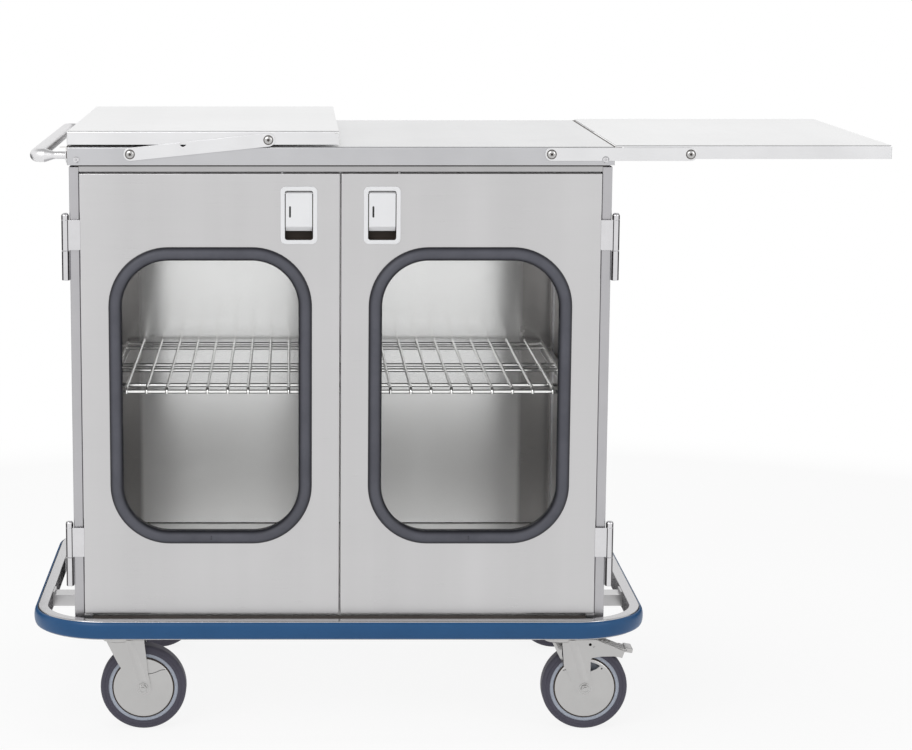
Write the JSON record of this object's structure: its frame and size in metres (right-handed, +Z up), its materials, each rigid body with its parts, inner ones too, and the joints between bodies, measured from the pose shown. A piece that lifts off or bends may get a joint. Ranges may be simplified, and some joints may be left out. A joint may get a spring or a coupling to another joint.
{
  "type": "case cart",
  "caption": "Stainless case cart on swivel casters: glazed double doors, paddle latches, wire shelf, fold-out wings on the work top, push handle, wraparound bumper.",
  "frame": {"origin": "on the floor, below the middle of the bounding box with the left wing folded and the right wing extended", "axes": "+X along the cart towards the extended right wing, -Y the side with the doors, +Z up"},
  "size_m": [1.456, 0.734, 1.0504],
  "materials": {
    "sheet_steel": "satin brushed stainless sheet, grain along each panel",
    "top_steel": "satin brushed stainless sheet, bright on the work surfaces",
    "tube_steel": "polished stainless tube, rail and wire",
    "hardware_steel": "bright stainless screws, pins, knuckles and pressed caster parts",
    "gasket_rubber": "dark slate rubber, satin",
    "strip_vinyl": "blue vinyl bumper strip, semi gloss",
    "window_glass": "clear pane",
    "latch_plastic": "white coated latch",
    "wheel_core": "light grey moulded core",
    "tyre_rubber": "dark grey tread"
  },
  "bodies": {
    "cart": {"side_walls": "sheet_steel", "back_wall": "sheet_steel", "roof_pan": "sheet_steel", "floor_pan": "sheet_steel", "base_frame": "sheet_steel", "main_top": "top_steel", "top_stiffener": "sheet_steel", "end_blades": "hardware_steel", "push_handle": "tube_steel", "bumper_rail": "tube_steel", "bumper_strip": "strip_vinyl", "bumper_brackets": "sheet_steel", "pilasters": "sheet_steel", "shelf_supports": "sheet_steel", "wire_shelf": "tube_steel", "top_screws": "hardware_steel", "frame_hinges": "hardware_steel", "caster_plates": "hardware_steel"},
    "left_door": {"left_door_pan": "sheet_steel", "left_door_liner": "sheet_steel", "left_window_pane": "window_glass", "left_window_gasket": "gasket_rubber", "left_hinge_leaves": "hardware_steel", "left_latch_bezel": "latch_plastic"},
    "left_latch": {"left_latch_paddle": "latch_plastic", "left_latch_pawl": "hardware_steel"},
    "left_arms": {"left_wing_arms": "hardware_steel"},
    "left_wing": {"left_wing_top": "top_steel", "left_wing_ribs": "sheet_steel", "left_wing_screws": "hardware_steel"},
    "right_door": {"right_door_pan": "sheet_steel", "right_door_liner": "sheet_steel", "right_window_pane": "window_glass", "right_window_gasket": "gasket_rubber", "right_hinge_leaves": "hardware_steel", "right_latch_bezel": "latch_plastic"},
    "right_latch": {"right_latch_paddle": "latch_plastic", "right_latch_pawl": "hardware_steel"},
    "right_arms": {"right_wing_arms": "hardware_steel"},
    "right_wing": {"right_wing_top": "top_steel", "right_wing_ribs": "sheet_steel", "right_wing_screws": "hardware_steel"},
    "front_left_swivel": {"front_left_fork": "hardware_steel", "front_left_axle": "hardware_steel"},
    "front_left_wheel": {"front_left_core": "wheel_core", "front_left_tyre": "tyre_rubber"},
    "front_right_swivel": {"front_right_fork": "hardware_steel", "front_right_axle": "hardware_steel"},
    "front_right_wheel": {"front_right_core": "wheel_core", "front_right_tyre": "tyre_rubber"},
    "rear_left_swivel": {"rear_left_fork": "hardware_steel", "rear_left_axle": "hardware_steel"},
    "rear_left_wheel": {"rear_left_core": "wheel_core", "rear_left_tyre": "tyre_rubber"},
    "rear_right_swivel": {"rear_right_fork": "hardware_steel", "rear_right_axle": "hardware_steel"},
    "rear_right_wheel": {"rear_right_core": "wheel_core", "rear_right_tyre": "tyre_rubber"},
    "front_right_brake": {"front_right_pedal": "hardware_steel"},
    "rear_right_brake": {"rear_right_pedal": "hardware_steel"}
  },
  "joints": [
    {"name": "left_door_hinge", "type": "hinge", "parent": "cart", "child": "left_door", "pos_m": [-0.6575, -0.3205, 0.6], "axis": [0, 0, -1], "range_deg": [0, 260]},
    {"name": "left_latch_pull", "type": "hinge", "parent": "left_door", "child": "left_latch", "pos_m": [-0.264, -0.32, 0.9458], "axis": [-1, 0, 0], "range_deg": [0, 22], "stiffness_Nm_per_rad": 0.3, "springref_deg": -17.19},
    {"name": "left_wing_lift", "type": "hinge", "parent": "cart", "child": "left_arms", "pos_m": [-0.5465, 0, 1.0115], "axis": [0, -1, 0], "range_deg": [0, 174.1]},
    {"name": "left_wing_level", "type": "hinge", "parent": "left_arms", "child": "left_wing", "pos_m": [-0.31523, 0, 1.0354], "axis": [0, -1, 0], "range_deg": [-174.1, 0]},
    {"name": "right_door_hinge", "type": "hinge", "parent": "cart", "child": "right_door", "pos_m": [0.2695, -0.3205, 0.6], "axis": [0, 0, 1], "range_deg": [0, 260]},
    {"name": "right_latch_pull", "type": "hinge", "parent": "right_door", "child": "right_latch", "pos_m": [-0.124, -0.32, 0.9458], "axis": [-1, 0, 0], "range_deg": [0, 22], "stiffness_Nm_per_rad": 0.3, "springref_deg": -17.19},
    {"name": "right_wing_lift", "type": "hinge", "parent": "cart", "child": "right_arms", "pos_m": [0.1585, 0, 1.0115], "axis": [0, -1, 0], "range_deg": [0, 174.1]},
    {"name": "right_wing_level", "type": "hinge", "parent": "right_arms", "child": "right_wing", "pos_m": [0.391, 0, 1.0115], "axis": [0, -1, 0], "range_deg": [-174.1, 0]},
    {"name": "front_left_swivel_turn", "type": "hinge", "parent": "cart", "child": "front_left_swivel", "pos_m": [-0.58, -0.266, 0.17], "axis": [0, 0, 1], "continuous": true},
    {"name": "front_left_wheel_spin", "type": "hinge", "parent": "front_left_swivel", "child": "front_left_wheel", "pos_m": [-0.536, -0.266, 0.075], "axis": [0, 1, 0], "continuous": true},
    {"name": "front_right_swivel_turn", "type": "hinge", "parent": "cart", "child": "front_right_swivel", "pos_m": [0.192, -0.266, 0.17], "axis": [0, 0, 1], "continuous": true},
    {"name": "front_right_wheel_spin", "type": "hinge", "parent": "front_right_swivel", "child": "front_right_wheel", "pos_m": [0.236, -0.266, 0.075], "axis": [0, 1, 0], "continuous": true},
    {"name": "rear_left_swivel_turn", "type": "hinge", "parent": "cart", "child": "rear_left_swivel", "pos_m": [-0.58, 0.266, 0.17], "axis": [0, 0, 1], "continuous": true},
    {"name": "rear_left_wheel_spin", "type": "hinge", "parent": "rear_left_swivel", "child": "rear_left_wheel", "pos_m": [-0.536, 0.266, 0.075], "axis": [0, 1, 0], "continuous": true},
    {"name": "rear_right_swivel_turn", "type": "hinge", "parent": "cart", "child": "rear_right_swivel", "pos_m": [0.192, 0.266, 0.17], "axis": [0, 0, 1], "continuous": true},
    {"name": "rear_right_wheel_spin", "type": "hinge", "parent": "rear_right_swivel", "child": "rear_right_wheel", "pos_m": [0.236, 0.266, 0.075], "axis": [0, 1, 0], "continuous": true},
    {"name": "front_right_brake_press", "type": "hinge", "parent": "front_right_swivel", "child": "front_right_brake", "pos_m": [0.244, -0.266, 0.154], "axis": [0, 1, 0], "range_deg": [0, 8]},
    {"name": "rear_right_brake_press", "type": "hinge", "parent": "rear_right_swivel", "child": "rear_right_brake", "pos_m": [0.244, 0.266, 0.154], "axis": [0, 1, 0], "range_deg": [0, 8]}
  ],
  "couplings": [
    {"joint": "left_wing_level", "follows": "left_wing_lift", "ratio": -1},
    {"joint": "right_wing_level", "follows": "right_wing_lift", "ratio": -1}
  ]
}
